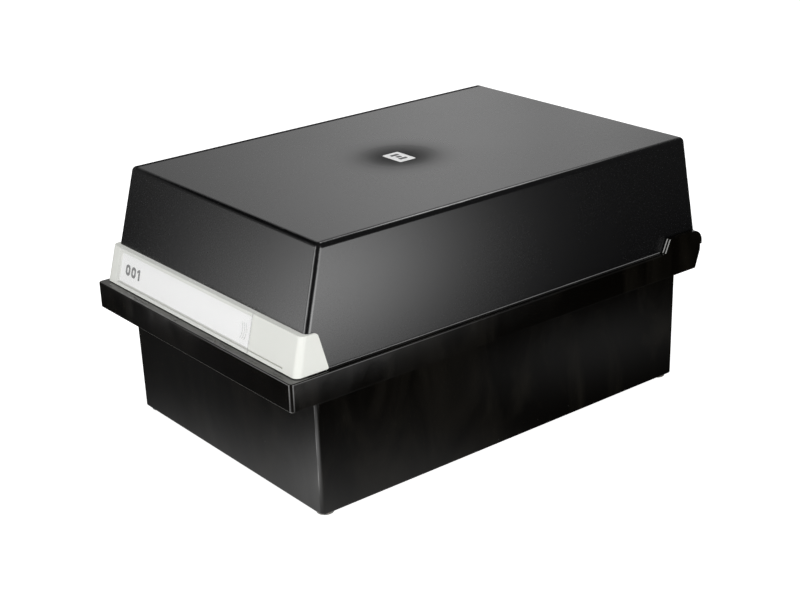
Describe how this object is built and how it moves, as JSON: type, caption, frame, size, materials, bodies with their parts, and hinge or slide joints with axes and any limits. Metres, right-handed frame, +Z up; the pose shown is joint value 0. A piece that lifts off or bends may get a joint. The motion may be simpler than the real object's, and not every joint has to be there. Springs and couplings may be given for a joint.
{
  "type": "card index box",
  "caption": "Deep tray with a wide rim and a tapered lid hinged at the rear, a sliding label cover on the front and a sliding, tilting card support inside.",
  "frame": {"origin": "middle of the bounding box's footprint, on the surface that the feet stand on", "axes": "+X to the right of a person who faces the label, +Y from the label to the hinge, +Z up"},
  "size_m": [0.24, 0.3686, 0.1851],
  "materials": {
    "tray_plastic": "glossy moulded polystyrene",
    "lid_plastic": "satin, finely textured polystyrene",
    "holder_plastic": "satin moulded plastic",
    "card_paper": "smooth paper",
    "clear_plastic": "clear, glossy",
    "badge_plastic": "satin",
    "steel": "drawn bright steel",
    "foot_plastic": "soft translucent grey",
    "support_plastic": "satin moulded polystyrene"
  },
  "bodies": {
    "tray_body": {"tray": "tray_plastic", "hinge_rod": "steel", "rod_plug": "tray_plastic", "foot_front_left": "foot_plastic", "foot_front_right": "foot_plastic", "foot_rear_left": "foot_plastic", "foot_rear_right": "foot_plastic"},
    "lid_body": {"lid": "lid_plastic", "badge": "badge_plastic", "label_holder": "holder_plastic", "label_card": "card_paper"},
    "cover_body": {"label_cover": "clear_plastic"},
    "carriage_body": {"support_carriage": "support_plastic", "support_pin": "steel"},
    "plate_body": {"support_plate": "support_plastic"}
  },
  "joints": [
    {"name": "lid_hinge", "type": "hinge", "parent": "tray_body", "child": "lid_body", "pos_m": [0, 0.1767, 0.1104], "axis": [-1, 0, 0], "range_deg": [0, 98]},
    {"name": "label_cover_slide", "type": "slide", "parent": "lid_body", "child": "cover_body", "axis": [1, 0, 0], "range_m": [0, 0.036]},
    {"name": "support_slide", "type": "slide", "parent": "tray_body", "child": "carriage_body", "axis": [0, 1, 0], "range_m": [-0.148, 0.048]},
    {"name": "support_tilt", "type": "hinge", "parent": "carriage_body", "child": "plate_body", "pos_m": [0, 0.07, 0.023], "axis": [1, 0, 0], "range_deg": [0, 20]}
  ]
}
